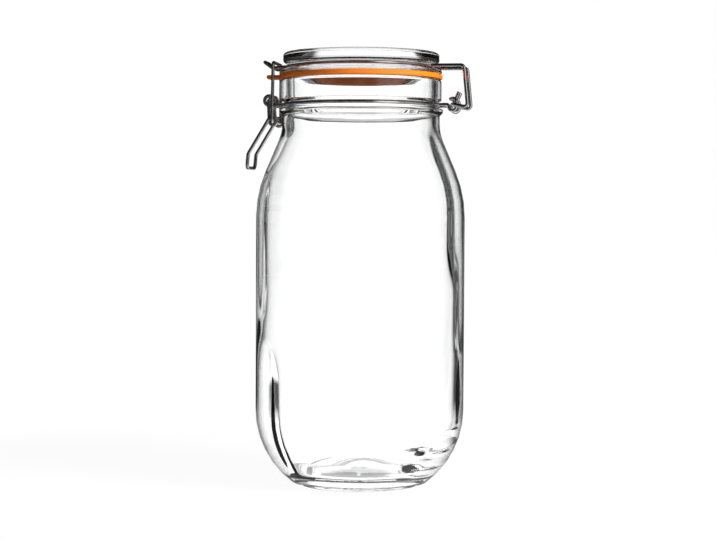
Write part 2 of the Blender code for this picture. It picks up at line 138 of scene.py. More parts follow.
# Clamp side
EYE_RADIUS = 2.75 * MM
EYE_OFFSET = 6.8 * MM
EYE_INNER_OFFSET = EYE_OFFSET - NECK_WIRE - FIT_GAP
CRANK_RUN = 3.0 * MM
CRANK_DROP = 12.1 * MM
COIL_RADIUS = 2.45 * MM
COIL_GAP = 0.45 * MM
HANDLE_SLOPE = math.radians(31)
HANDLE_LENGTH = 24.4 * MM
HANDLE_TIP_SLOPE = math.radians(5)
HANDLE_TIP = 8.2 * MM
PIN_END = 0.2 * MM
BAIL_LEAN = 0.4 * MM
BAIL_TAPER = 1.5 * MM
TONGUE_HALF_WIDTH = 7.5 * MM
TONGUE_DIP = 0.7 * MM
TONGUE_SEAT = 1.4 * MM
TONGUE_RUN = 5.0 * MM
TONGUE_RISE = 3.7 * MM
LEVER_ARM_OFFSET = EYE_OFFSET + NECK_WIRE / 2 + FIT_GAP + LEVER_WIRE / 2
HANDLE_OFFSET = LEVER_ARM_OFFSET + LEVER_WIRE + COIL_GAP
BAIL_OFFSET = HANDLE_OFFSET + LEVER_WIRE / 2 + FIT_GAP + BAIL_WIRE / 2
LEVER_AXIS = Vector((-FINISH_RADIUS - 6.4 * MM, 0, NECK_WIRE_HEIGHT + EYE_RADIUS))
BAIL_AXIS = LEVER_AXIS + Vector((CRANK_RUN, 0, -CRANK_DROP))

# Hinge side
HINGE_AXIS = Vector((FINISH_RADIUS + 7.6 * MM, 0, NECK_WIRE_HEIGHT))
RING_OFFSET = 9.6 * MM
RING_HALF_WIDTH = 2.75 * MM
RING_HALF_HEIGHT = 3.6 * MM
RING_TILT = math.radians(25)
RING_TAIL = math.radians(130)
RING_LEAD = math.radians(-150)
RING_REACH = RING_HALF_WIDTH * math.sin(RING_TILT) + NECK_WIRE / 2
ARM_OFFSET = RING_OFFSET + RING_REACH + FIT_GAP + LID_WIRE / 2
ARM_END_OFFSET = RING_OFFSET - RING_REACH - FIT_GAP - LID_WIRE / 2
ARM_TOP_RUN = 6.7 * MM
ARM_FOOT_RUN = 9.1 * MM
ARM_FOOT_DROP = 1.8 * MM
ARM_END_RUN = 3.4 * MM
ARM_END_RISE = 7.6 * MM

# Bends of the wires, as the radius of the centre line
TIGHT_BEND = 1.3 * MM
BEND = 2.0 * MM
WIDE_BEND = 3.2 * MM

# How finely the shapes are drawn
TURN_SEGMENTS = 192
FINE_STEP = math.radians(9)
WIRE_STEP = math.radians(10)
LOOP_STEP = math.radians(10)
ARC_STEP = math.radians(3)
WALL_PITCH = 3.0 * MM
WIRE_BEVEL_STEPS = 6
TAB_BEVEL_STEPS = 4

# Thick streaks in the jar's wall, as (azimuth from -Y towards +X, lowest, highest, half width, swell)
STREAKS = (
    (math.radians(73), 128 * MM, 200 * MM, 7 * MM, 1.3 * MM),
    (math.radians(80), 90 * MM, 140 * MM, 5 * MM, 0.8 * MM),
    (math.radians(-55), 8 * MM, 76 * MM, 8.5 * MM, 3.0 * MM),
    (math.radians(-62), 110 * MM, 175 * MM, 5 * MM, 0.7 * MM),
    (math.radians(58), 4 * MM, 26 * MM, 16 * MM, 2.5 * MM),
)
STREAK_FADE = 24 * MM

# Level flow lines in the thick glass at the right of the heel
FLOW_AZIMUTH = math.radians(64)
FLOW_HALF_WIDTH = 20 * MM
FLOW_LOW = 9 * MM
FLOW_HIGH = 34 * MM
FLOW_FADE = 5 * MM
FLOW_PITCH = 10 * MM
FLOW_SWELL = 3.2 * MM
FLOW_LIFT = 1.2 * MM

# Unevenness of the rest of the glass
INNER_RIPPLE = 0.48 * MM
OUTER_RIPPLE = 0.05 * MM
RIPPLE_PITCH = 34.0 * MM
INNER_FINENESS = 1.6
OUTER_SHIFT = Vector((5, 3, 1))
RIPPLE_FOOT_FADE = 8 * MM
RIPPLE_RIM_MARGIN = 30 * MM
RIPPLE_RIM_FADE = 20 * MM

# Glass looks. A painted edge shade is (facing where it starts, facing where it is full, grey).
# The slopes are the upward part of a face's normal at which the painted edge shade is gone, and full.
# In all the looks a noise is (scale, detail) and a bump is (strength, distance).
GLASS_TINT = (0.995, 0.998, 0.997, 1)
GLASS_INDEX = 1.51
# Painted shade: the glass's colour goes grey where an upright face is seen edge-on.
JAR_PAINTED_EDGE_SHADE = (0.6, 0.84, 0.1)
LID_PAINTED_EDGE_SHADE = (0.7, 0.9, 0.2)
PAINTED_SHADE_GONE_SLOPE = 0.8
PAINTED_SHADE_FULL_SLOPE = 0.4
GLASS_WAVES = (38.0, 1.0)
GLASS_BUMP = (0.05, 1.0 * MM)

# Steel looks. Tones are the two ends of a mix, and a roughness is (range, least).
STEEL_TONES = ((0.50, 0.50, 0.51, 1), (0.62, 0.62, 0.63, 1))
STEEL_ROUGHNESS = (0.14, 0.12)
STEEL_PATCHES = (160.0, 3.0)
STEEL_GRAIN = (2400.0, 2.0)
STEEL_BUMP = (0.12, 0.1 * MM)

# Rubber looks
RUBBER_TONES = ((0.84, 0.16, 0.004, 1), (0.93, 0.215, 0.008, 1))
RUBBER_ROUGHNESS = (0.2, 0.38)
RUBBER_MOTTLE = (220.0, 4.0)
RUBBER_GRAIN = (2600.0, 2.0)
RUBBER_BUMP = (0.15, 0.2 * MM)

# Paper looks
PAPER_TONES = ((0.86, 0.86, 0.86, 1), (0.88, 0.88, 0.88, 1))
PAPER_ROUGHNESS = 0.9
PAPER_TOOTH = (300.0, 2.0)
FLOOR_REACH = 6.0

# Camera
CAMERA_DISTANCE = 1.04
CAMERA_AZIMUTH = math.radians(8)
CAMERA_HEIGHT = 168.0 * MM
CAMERA_LENS = 88.0
CAMERA_ROLL = math.radians(0.3)
AIM_HEIGHT = 126.9 * MM
AIM_SIDE = -1.3 * MM

# The room as reflections see it: dark, with lit panels.
# A panel is (azimuth from -Y towards +X, half width, softness, strength).
STUDIO_DARK = 0.03
SURFACE_PANELS = (
    (math.radians(188), math.radians(8), math.radians(3), 0.6),
    (math.radians(47), math.radians(16), math.radians(4), 1.3),
    (math.radians(85), math.radians(18), math.radians(8), 0.35),
    (math.radians(-38), math.radians(6), math.radians(4), 0.12),
)
INNER_PANELS = (
    (math.radians(193), math.radians(29), math.radians(3), 1.2),
)

# The room is dark overhead, except to the camera and to diffuse rays through glass. A fade is the
# upward part of a direction at which the tones are whole, and at which they are gone: first for
# reflections off a surface and the light on matt things, then inside glass and straight through it.
SURFACE_FADE = (0.5, 0.75)
OVERHEAD_FADE = (0.85, 0.98)

# Tones for each kind of ray: the camera's, clear through glass, diffuse through glass
ROOM_GLOW = 1.0
THROUGH_GLOW = 1.25
SOFT_GLOW = 0.6

# Tones of the paper near the jar in reflections, and near and far for the camera
SURFACE_NEAR_GLOW = 0.2
INNER_NEAR_GLOW = 1.4
PAPER_GLOW = 1.06
FAR_PAPER_GLOW = 1.12
PAPER_GLOW_SHARE = 0.9
PAPER_NEAR = 0.25
PAPER_FAR = 0.45

# Painted contact shadow: a dark patch of paper under the foot, which only reflections inside the glass see
PAINTED_SHADOW_CORE = 37 * MM
PAINTED_SHADOW_EDGE = 40 * MM
PAINTED_SHADOW_TONE = 0.1

# Lamps, as (place, width and height, power)
LAMP_AIM = (0, 0, 0.15)
KEY_LAMP = ((1.25, -0.55, 0.6), (0.6, 0.9), 36.0)
FILL_LAMP = ((-0.6, -1.1, 0.7), (0.8, 0.8), 1.0)


def rounded(corners, step):
    """The path through (point, radius) corners, each rounded by an arc that its legs have room for."""
    points = [Vector(point) for point, _ in corners]
    turns = [0.0] * len(points)
    reach = [0.0] * len(points)
    for i in range(1, len(points) - 1):
        before = points[i - 1] - points[i]
        after = points[i + 1] - points[i]
        turns[i] = math.pi - before.angle(after)
        reach[i] = corners[i][1] * math.tan(turns[i] / 2)
    legs = [(b - a).length for a, b in zip(points, points[1:])]
    room = [min(1.0, leg / max(reach[i] + reach[i + 1], leg)) for i, leg in enumerate(legs)]
    path = [points[0]]
    for i in range(1, len(points) - 1):
        back = (points[i - 1] - points[i]).normalized()
        on = (points[i + 1] - points[i]).normalized()
        length = reach[i] * min(room[i - 1], room[i])
        if not length:
            path.append(points[i])
            continue
        path += bend_points(points[i], back, on, length, turns[i], step)
    path.append(points[-1])
    return path


def bend_points(corner, back, on, length, turn, step):
    """Points of the arc that leaves one leg and joins the other, at this length from the corner."""
    radius = length / math.tan(turn / 2)
    centre = corner + (back + on).normalized() * radius / math.cos(turn / 2)
    first = corner + back * length - centre
    last = corner + on * length - centre
    steps = max(1, math.ceil(turn / step))
    return [centre + first.slerp(last, i / steps) * radius for i in range(steps + 1)]


def divided(path, pitch):
    """The path with its long straight stretches cut up."""
    out = [path[0]]
    for a, b in zip(path, path[1:]):
        count = max(1, round((b - a).length / pitch))
        out += [a.lerp(b, i / count) for i in range(1, count + 1)]
    return out


def new_object(name, mesh):
    obj = bpy.data.objects.new(name, mesh)
    bpy.context.scene.collection.objects.link(obj)
    return obj


def lathe(name, corners, finish, ripple=None, closed=False):
    """A solid of revolution about Z, with a ripple that shifts the radius if one is given.

    The path of a rippled piece goes up the inside and down the outside.
    """
    path = rounded([((x, 0, z), radius) for x, z, radius in corners], FINE_STEP)
    path = divided(path, WALL_PITCH)
    if closed:
        path = path[:-1]
    top = max(range(len(path)), key=lambda i: path[i].z)
    points = []
    rings = []
    for index, spot in enumerate(path):
        outside = index >= top
        if spot.x < FIT_GAP:
            rings.append([len(points)] * TURN_SEGMENTS)
            points.append(spot)
            continue
        rings.append(list(range(len(points), len(points) + TURN_SEGMENTS)))
        for i in range(TURN_SEGMENTS):
            turn = 2 * math.pi * i / TURN_SEGMENTS
            around = Vector((math.cos(turn), math.sin(turn), 0))
            radius = spot.x + (ripple(spot, turn, outside) if ripple else 0)
            points.append(around * radius + Vector((0, 0, spot.z)))
    faces = []
    pairs = list(zip(rings, rings[1:] + rings[:1])) if closed else list(zip(rings, rings[1:]))
    for upper, lower in pairs:
        for i in range(TURN_SEGMENTS):
            j = (i + 1) % TURN_SEGMENTS
            corner = [upper[i], lower[i], lower[j], upper[j]]
            faces.append(list(dict.fromkeys(corner)))
    mesh = bpy.data.meshes.new(name)
    mesh.from_pydata(points, [], faces)
    mesh.materials.append(finish)
    mesh.shade_smooth()
    return new_object(name, mesh)


def jar_outline():
    """The jar's section, from the middle of its floor, up the inside and down the outside."""
    inner_radius = BODY_RADIUS - BODY_WALL
    slope = math.tan(SHOULDER_SLOPE)
    neck_corner = RIM_HEIGHT - SHOULDER_DROP
    body_corner = neck_corner - (BODY_RADIUS - NECK_RADIUS) / slope
    bore_corner = neck_corner + BORE_CORNER_LIFT
    inner_corner = bore_corner - (inner_radius - BORE_RADIUS) / slope
    heel_start = FOOT_HEIGHT + HEEL_ROUND * math.sin(HEEL_TURN)
    heel_corner = heel_start - HEEL_ROUND * math.tan(HEEL_TURN / 2)
    heel_end = BODY_RADIUS - HEEL_ROUND * (1 - math.cos(HEEL_TURN))
    inner_heel = heel_start - INNER_HEEL_ROUND * math.tan(INNER_HEEL_TURN / 2)
    floor_edge = inner_radius - (inner_heel - FLOOR_HEIGHT) * math.tan(INNER_HEEL_TURN)
    foot = heel_end - FOOT_LEDGE
    wire_height = NECK_WIRE_HEIGHT
    bead_bottom = wire_height - GROOVE_BELOW - BEAD_HEIGHT
    return [
        (0, FLOOR_HEIGHT + FLOOR_CROWN, 0),
        (floor_edge, FLOOR_HEIGHT, FLOOR_ROUND),
        (inner_radius, inner_heel, INNER_HEEL_ROUND),
        (inner_radius, inner_corner, SHOULDER_ROUND),
        (BORE_RADIUS, bore_corner, SHOULDER_HOLLOW),
        (BORE_RADIUS, RIM_HEIGHT, RIM_ROUND),
        (FINISH_RADIUS, RIM_HEIGHT, RIM_ROUND),
        (FINISH_RADIUS, wire_height + GROOVE_ABOVE, GROOVE_ROUND),
        (NECK_GROOVE_RADIUS, wire_height + GROOVE_FLOOR / 2, GROOVE_ROUND),
        (NECK_GROOVE_RADIUS, wire_height - GROOVE_FLOOR / 2, GROOVE_ROUND),
        (BEAD_RADIUS, wire_height - GROOVE_BELOW, GROOVE_ROUND),
        (BEAD_RADIUS, bead_bottom, GROOVE_ROUND),
        (NECK_RADIUS, bead_bottom - BEAD_UNDERSIDE, GROOVE_ROUND),
        (NECK_RADIUS, neck_corner, SHOULDER_HOLLOW),
        (BODY_RADIUS, body_corner, SHOULDER_ROUND),
        (BODY_RADIUS, heel_corner, HEEL_ROUND),
        (heel_end, FOOT_HEIGHT, 0),
        (foot, FOOT_HEIGHT, FOOT_ROUND),
        (foot, 0, FOOT_ROUND),
        (foot - FOOT_WIDTH, 0, FOOT_ROUND),
        (foot - FOOT_WIDTH - PUSH_UP_RUN, PUSH_UP, PUSH_UP),
        (0, PUSH_UP, 0),
    ]


def clamped(value):
    """The value, kept between nought and one."""
    return min(1.0, max(0.0, value))


def sideways(spot, turn, azimuth, half_width):
    """How far round the wall from this azimuth, in half widths. The turn is from +X, the azimuth from -Y."""
    return math.remainder(turn + math.pi / 2 - azimuth, 2 * math.pi) * spot.x / half_width


def glass_ripple(spot, turn, outside):
    """How far the glass strays outwards from round. The fine ripple dies out at the rim and the foot."""
    fade = clamped((spot.z - FOOT_HEIGHT) / RIPPLE_FOOT_FADE)
    fade *= clamped((RIM_HEIGHT - RIPPLE_RIM_MARGIN - spot.z) / RIPPLE_RIM_FADE)
    reach = spot.x / RIPPLE_PITCH
    place = Vector((reach * math.cos(turn), reach * math.sin(turn), spot.z / RIPPLE_PITCH / 2))
    if outside:
        dent = 0.5 + 0.5 * noise.noise(place + OUTER_SHIFT)
        return -fade * OUTER_RIPPLE * dent
    return fade * INNER_RIPPLE * noise.noise(place * INNER_FINENESS) - streaks(spot, turn)


def streaks(spot, turn):
    """How far the thick streaks and the flow lines stand inwards at this place."""
    swell = 0.0
    for azimuth, lowest, highest, half_width, height in STREAKS:
        aside = sideways(spot, turn, azimuth, half_width)
        start = clamped((spot.z - lowest) / STREAK_FADE + 0.5)
        end = clamped((highest - spot.z) / STREAK_FADE + 0.5)
        swell += height * start * end * math.exp(-aside * aside)
    return swell + flow_lines(spot, turn)


def flow_lines(spot, turn):
    """The nearly level waves at the right of the heel, lifted so that they thicken the wall on the whole."""
    aside = sideways(spot, turn, FLOW_AZIMUTH, FLOW_HALF_WIDTH)
    start = clamped((spot.z - FLOW_LOW) / FLOW_FADE)
    end = clamped((FLOW_HIGH - spot.z) / FLOW_FADE)
    wave = math.sin(2 * math.pi * spot.z / FLOW_PITCH + aside)
    return (FLOW_LIFT + FLOW_SWELL * wave) * start * end * math.exp(-aside * aside)


def make_jar(finish):
    return lathe("jar_glass", jar_outline(), finish, glass_ripple)


def lid_outline():
    """The lid's section, from the middle of its top, down the outside and back up inside the plug."""
    top = LID_WIRE_HEIGHT + LID_TOP_RISE
    disc_bottom = LID_WIRE_HEIGHT + LID_WIRE / 2 + GROOVE_PLAY
    flange_top = LID_WIRE_HEIGHT - LID_WIRE / 2 - GROOVE_PLAY
    plug_bottom = LID_FACE - PLUG_DEPTH
    plug_inner = PLUG_RADIUS - PLUG_TAPER - PLUG_WALL
    ceiling = top - LID_THICKNESS
    return [
        (0, top, 0),
        (LID_RADIUS, top, LID_ROUND),
        (LID_RADIUS, disc_bottom, LID_ROUND),
        (LID_GROOVE_RADIUS, disc_bottom, GROOVE_PLAY),
        (LID_GROOVE_RADIUS, flange_top, GROOVE_PLAY),
        (FLANGE_RADIUS, flange_top, FLANGE_ROUND),
        (FLANGE_RADIUS, LID_FACE, PLUG_ROUND),
        (PLUG_RADIUS, LID_FACE, 0),
        (PLUG_RADIUS, LID_FACE - PLUG_STRAIGHT, PLUG_ROUND),
        (PLUG_RADIUS - PLUG_TAPER, plug_bottom, PLUG_ROUND),
        (plug_inner, plug_bottom, PLUG_ROUND),
        (plug_inner, ceiling, LID_DOME_ROUND),
        (0, ceiling, 0),
    ]


def make_lid(finish):
    return lathe("lid_glass", lid_outline(), finish)


def make_seal(finish):
    """The ring, and its pull tab as a second shell rooted in it."""
    bore = PLUG_RADIUS + FIT_GAP
    middle = (SEAL_BOTTOM + SEAL_TOP) / 2
    outline = [
        (bore, middle, 0),
        (bore, SEAL_BOTTOM, SEAL_ROUND),
        (SEAL_RADIUS, SEAL_BOTTOM, SEAL_ROUND),
        (SEAL_RADIUS, SEAL_TOP, SEAL_ROUND),
        (bore, SEAL_TOP, SEAL_ROUND),
        (bore, middle, 0),
    ]
    ring = lathe("seal_rubber", outline, finish, closed=True)
    tab = make_tab(finish, middle)
    return ring, tab


def make_tab(finish, middle):
    """The flat pull tab of the seal, with a rounded edge."""
    tip = -SEAL_RADIUS - TAB_LENGTH
    root = -SEAL_RADIUS + TAB_ROOT
    half = TAB_WIDTH / 2
    corners = [
        (root, -half, 0),
        (root, half, 0),
        (tip, half, TAB_ROUND),
        (tip, -half, TAB_ROUND),
        (root, -half, 0),
    ]
    outline = rounded([((x, y, 0), radius) for x, y, radius in corners], WIRE_STEP)[:-1]
    curve = bpy.data.curves.new("seal_tab", "CURVE")
    curve.dimensions = "2D"
    curve.fill_mode = "BOTH"
    curve.extrude = TAB_THICKNESS / 2 - TAB_EDGE
    curve.bevel_depth = TAB_EDGE
    curve.bevel_resolution = TAB_BEVEL_STEPS
    curve.offset = -TAB_EDGE
    spline = curve.splines.new("POLY")
    spline.use_cyclic_u = True
    spline.points.add(len(outline) - 1)
    for spot, point in zip(spline.points, outline):
        spot.co = (point.x, point.y, 0, 1)
    curve.materials.append(finish)
    tab = new_object("seal_tab", curve)
    tab.location.z = middle
    return tab


def loop_points(centre, half_width, half_height, start, sweep, tilt=0.0):
    """Points of an upright loop, from its start angle. The tilt turns its plane about Z."""
    steps = math.ceil(abs(sweep) / LOOP_STEP)
    points = []
    for i in range(steps + 1):
        angle = start + sweep * i / steps
        across = half_width * math.cos(angle)
        up = half_height * math.sin(angle)
        points.append(centre + Vector((across * math.cos(tilt), -across * math.sin(tilt), up)))
    return points


def groove_points(radius, height, first_offset, last_offset):
    """Near-side points of a wire in its groove, from its +X end to its -X end, both left out."""
    start = -math.asin(first_offset / radius)
    end = -math.pi + math.asin(last_offset / radius)
    steps = math.ceil((start - end) / ARC_STEP)
    angles = [start + (end - start) * i / steps for i in range(1, steps)]
    return [Vector((radius * math.cos(a), radius * math.sin(a), height)) for a in angles]


def groove_gate(radius, height, offset, side):
    """The point of the near groove at this distance from the XZ plane, on the given side in X."""
    return Vector((side * math.sqrt(radius**2 - offset**2), -offset, height))


def plain(points):
    return [(point, 0.0) for point in points]


def mirrored(half):
    """The whole wire: its near half, which ends on the XZ plane, then the same points on the far side."""
    mirror = Matrix.Diagonal((1, -1, 1))
    return half + [mirror @ point for point in reversed(half[:-1])]


def wire(name, path, diameter, finish):
    """A bent round wire with slightly tapered ends."""
    curve = bpy.data.curves.new(name, "CURVE")
    curve.dimensions = "3D"
    curve.bevel_depth = diameter / 2
    curve.bevel_resolution = WIRE_BEVEL_STEPS
    curve.use_fill_caps = True
    ease = diameter * WIRE_END_EASE
    first = path[0].lerp(path[1], min(1.0, ease / (path[1] - path[0]).length))
    last = path[-1].lerp(path[-2], min(1.0, ease / (path[-1] - path[-2]).length))
    path = [path[0], first] + path[1:-1] + [last, path[-1]]
    spline = curve.splines.new("POLY")
    spline.points.add(len(path) - 1)
    for spot, point in zip(spline.points, path):
        spot.co = (*point, 1.0)
    spline.points[0].radius = WIRE_END_SHARE
    spline.points[-1].radius = WIRE_END_SHARE
    curve.materials.append(finish)
    return new_object(name, curve)


def hinge_ring():
    """The near end of the neck wire: a ring round the hinge axis, and the point where it meets its stem."""
    centre = HINGE_AXIS + Vector((0, -RING_OFFSET, 0))
    sweep = RING_LEAD - RING_TAIL
    ring = loop_points(centre, RING_HALF_WIDTH, RING_HALF_HEIGHT, RING_TAIL, sweep, RING_TILT)
    across = Vector((-math.cos(RING_TILT), math.sin(RING_TILT), 0))
    return ring, centre + across * RING_HALF_WIDTH


def lever_eye():
    """The near eye of the neck wire: once round the lever's axis, stepping inwards over its top."""
    outer = LEVER_AXIS + Vector((0, -EYE_OFFSET, 0))
    over = loop_points(outer, EYE_RADIUS, EYE_RADIUS, -math.pi / 2, -math.pi)
    down = loop_points(outer, EYE_RADIUS, EYE_RADIUS, math.pi / 2, -math.pi / 2)
    for i, point in enumerate(down):
        point.y += (EYE_OFFSET - EYE_INNER_OFFSET) * i / (len(down) - 1)
    return over + down[1:]


def make_neck_wire(finish):
    height = NECK_WIRE_HEIGHT
    radius = NECK_RING_RADIUS
    ring, stem = hinge_ring()
    eye = lever_eye()
    stem_offset = -stem.y
    foot = Vector((eye[-1].x, eye[-1].y, height))
    corners = plain(ring)
    corners.append((stem, TIGHT_BEND))
    corners.append((groove_gate(radius, height, stem_offset, 1), BEND))
    corners += plain(groove_points(radius, height, stem_offset, EYE_OFFSET))
    corners.append((groove_gate(radius, height, EYE_OFFSET, -1), TIGHT_BEND))
    corners += plain(eye)
    corners.append((foot, TIGHT_BEND))
    corners.append((groove_gate(radius, height, EYE_INNER_OFFSET, -1), TIGHT_BEND))
    corners.append((Vector((-radius, 0, height)), 0.0))
    return wire("neck_band", mirrored(rounded(corners, WIRE_STEP)), NECK_WIRE, finish)


def make_lid_wire(finish):
    height = LID_WIRE_HEIGHT
    radius = LID_RING_RADIUS
    axis = HINGE_AXIS
    seat_x = BAIL_AXIS.x + BAIL_LEAN - TONGUE_SEAT
    seat_height = height - TONGUE_DIP
    end = Vector((axis.x + ARM_END_RUN, -ARM_END_OFFSET, axis.z + ARM_END_RISE))
    corners = [
        (end, 0.0),
        (Vector((axis.x, -ARM_END_OFFSET, axis.z)), TIGHT_BEND),
        (Vector((axis.x, -ARM_OFFSET, axis.z)), TIGHT_BEND),
        (Vector((axis.x + ARM_FOOT_RUN, -ARM_OFFSET, axis.z - ARM_FOOT_DROP)), BEND),
        (Vector((axis.x + ARM_TOP_RUN, -ARM_OFFSET, height)), BEND),
        (groove_gate(radius, height, ARM_OFFSET, 1), BEND),
    ]
    corners += plain(groove_points(radius, height, ARM_OFFSET, TONGUE_HALF_WIDTH))
    corners += [
        (groove_gate(radius, height, TONGUE_HALF_WIDTH, -1), TIGHT_BEND),
        (Vector((seat_x, -TONGUE_HALF_WIDTH, seat_height)), TIGHT_BEND),
        (Vector((seat_x - TONGUE_RUN, -TONGUE_HALF_WIDTH, seat_height + TONGUE_RISE)), WIDE_BEND),
        (Vector((seat_x - TONGUE_RUN, 0, seat_height + TONGUE_RISE)), 0.0),
    ]
    return wire("lid_band", mirrored(rounded(corners, WIRE_STEP)), LID_WIRE, finish)


def make_lever(finish):
    """Pivot end through the eye, arm down outside it, once round the coil stepping outwards, finger loop."""
    pivot = LEVER_AXIS
    pin_tip = EYE_INNER_OFFSET - NECK_WIRE / 2 - PIN_END
    coil_centre = BAIL_AXIS + Vector((0, -LEVER_ARM_OFFSET, 0))
    coil = loop_points(coil_centre, COIL_RADIUS, COIL_RADIUS, math.pi, 2 * math.pi - HANDLE_SLOPE)
    for i, point in enumerate(coil):
        point.y -= (HANDLE_OFFSET - LEVER_ARM_OFFSET) * i / (len(coil) - 1)
    down = Vector((-math.sin(HANDLE_SLOPE), 0, -math.cos(HANDLE_SLOPE)))
    knee = coil[-1] + down * HANDLE_LENGTH
    tip_down = Vector((-math.sin(HANDLE_TIP_SLOPE), 0, -math.cos(HANDLE_TIP_SLOPE)))
    tip = knee + tip_down * HANDLE_TIP
    corners = [
        (pivot + Vector((0, -pin_tip, 0)), 0.0),
        (pivot + Vector((0, -LEVER_ARM_OFFSET, 0)), TIGHT_BEND),
    ]
    corners += plain(coil)
    corners += [(knee, WIDE_BEND), (tip, WIDE_BEND), (Vector((tip.x, 0, tip.z)), 0.0)]
    return wire("lever_wire", mirrored(rounded(corners, WIRE_STEP)), LEVER_WIRE, finish)


def make_bail(finish):
    """Pins through the lever's coils, legs up past the seal, and a bar over the tongue."""
    foot = BAIL_AXIS
    pin_tip = LEVER_ARM_OFFSET - LEVER_WIRE / 2 - PIN_END
    tongue_height = LID_WIRE_HEIGHT - TONGUE_DIP
    bar_height = tongue_height + LID_WIRE / 2 + BAIL_PLAY + BAIL_WIRE / 2
    bar_x = foot.x + BAIL_LEAN
    bar_end = BAIL_OFFSET - BAIL_TAPER
    corners = [
        (foot + Vector((0, -pin_tip, 0)), 0.0),
        (foot + Vector((0, -BAIL_OFFSET, 0)), TIGHT_BEND),
        (Vector((bar_x, -bar_end, bar_height)), BEND),
        (Vector((bar_x, 0, bar_height)), 0.0),
    ]
    return wire("bail_wire", mirrored(rounded(corners, WIRE_STEP)), BAIL_WIRE, finish)


class Nodes:
    """A node tree under construction."""

    def __init__(self, tree):
        self.tree = tree

    def add(self, kind, inputs=None, **settings):
        """A node with these settings. An input is a value or another node's output socket."""
        node = self.tree.nodes.new(kind)
        for name, value in settings.items():
            setattr(node, name, value)
        for name, value in (inputs or {}).items():
            self.feed(node.inputs[name], value)
        return node

    def feed(self, socket, value):
        if isinstance(value, bpy.types.NodeSocket):
            self.tree.links.new(value, socket)
        else:
            socket.default_value = value

    def math(self, operation, *values):
        node = self.add("ShaderNodeMath", operation=operation)
        for socket, value in zip(node.inputs, values):
            self.feed(socket, value)
        return node.outputs[0]

    def mix(self, factor, first, second):
        """A blend of two colours, which are sockets 6 and 7 of a Mix node."""
        return self.add("ShaderNodeMix", {0: factor, 6: first, 7: second}, data_type="RGBA").outputs[2]

    def fade(self, value, nought, one):
        """From nought to one, as the value goes from the one place to the other."""
        limits = {"From Min": nought, "From Max": one}
        return self.add("ShaderNodeMapRange", {"Value": value, **limits}).outputs[0]

    def place(self):
        """The point's place in its object's own coordinates."""
        return self.add("ShaderNodeTexCoord").outputs["Object"]

    def noise(self, vector, scale, detail):
        inputs = {"Scale": scale, "Detail": detail, "Vector": vector}
        return self.add("ShaderNodeTexNoise", inputs).outputs["Fac"]

    def bump(self, height, strength, distance):
        inputs = {"Strength": strength, "Distance": distance, "Height": height}
        return self.add("ShaderNodeBump", inputs).outputs[0]


def new_material(name):
    made = bpy.data.materials.new(name)
    made.use_nodes = True
    made.node_tree.nodes.clear()
    nodes = Nodes(made.node_tree)
    shader = nodes.add("ShaderNodeBsdfPrincipled")
    output = nodes.add("ShaderNodeOutputMaterial", {"Surface": shader.outputs[0]})
    return made, nodes, shader, output


def glass_material(name, painted_edge_shade):
    """Clear pressed glass with a faint ripple, and painted shade where an upright face is seen edge-on."""
    made, nodes, shader, _ = new_material(name)
    start, full, grey = painted_edge_shade
    facing = nodes.add("ShaderNodeLayerWeight", {"Blend": 0.5}).outputs["Facing"]
    normal = nodes.add("ShaderNodeTexCoord").outputs["Normal"]
    up = nodes.add("ShaderNodeSeparateXYZ", {"Vector": normal}).outputs["Z"]
    upright = nodes.fade(nodes.math("ABSOLUTE", up), PAINTED_SHADE_GONE_SLOPE, PAINTED_SHADE_FULL_SLOPE)
    # Painted shade: this mask greys the base colour where an upright face is seen edge-on.
    edge = nodes.math("MULTIPLY", nodes.fade(facing, start, full), upright)
    waves = nodes.noise(nodes.place(), *GLASS_WAVES)
    shader.inputs["Roughness"].default_value = 0.0
    shader.inputs["IOR"].default_value = GLASS_INDEX
    shader.inputs["Transmission Weight"].default_value = 1.0
    nodes.feed(shader.inputs["Base Color"], nodes.mix(edge, GLASS_TINT, (grey, grey, grey, 1)))
    nodes.feed(shader.inputs["Normal"], nodes.bump(waves, *GLASS_BUMP))
    return made


def steel_material():
    """Bright stainless wire with a fine grain and a slightly uneven polish."""
    made, nodes, shader, _ = new_material("drawn_steel")
    place = nodes.place()
    grain = nodes.noise(place, *STEEL_GRAIN)
    patches = nodes.noise(place, *STEEL_PATCHES)
    shader.inputs["Metallic"].default_value = 1.0
    nodes.feed(shader.inputs["Base Color"], nodes.mix(patches, *STEEL_TONES))
    nodes.feed(shader.inputs["Roughness"], nodes.math("MULTIPLY_ADD", patches, *STEEL_ROUGHNESS))
    nodes.feed(shader.inputs["Normal"], nodes.bump(grain, *STEEL_BUMP))
    return made


def rubber_material():
    """Orange natural rubber, satin and faintly mottled."""
    made, nodes, shader, _ = new_material("orange_rubber")
    place = nodes.place()
    mottle = nodes.noise(place, *RUBBER_MOTTLE)
    grain = nodes.noise(place, *RUBBER_GRAIN)
    nodes.feed(shader.inputs["Base Color"], nodes.mix(mottle, *RUBBER_TONES))
    nodes.feed(shader.inputs["Roughness"], nodes.math("MULTIPLY_ADD", mottle, *RUBBER_ROUGHNESS))
    nodes.feed(shader.inputs["Normal"], nodes.bump(grain, *RUBBER_BUMP))
    return made


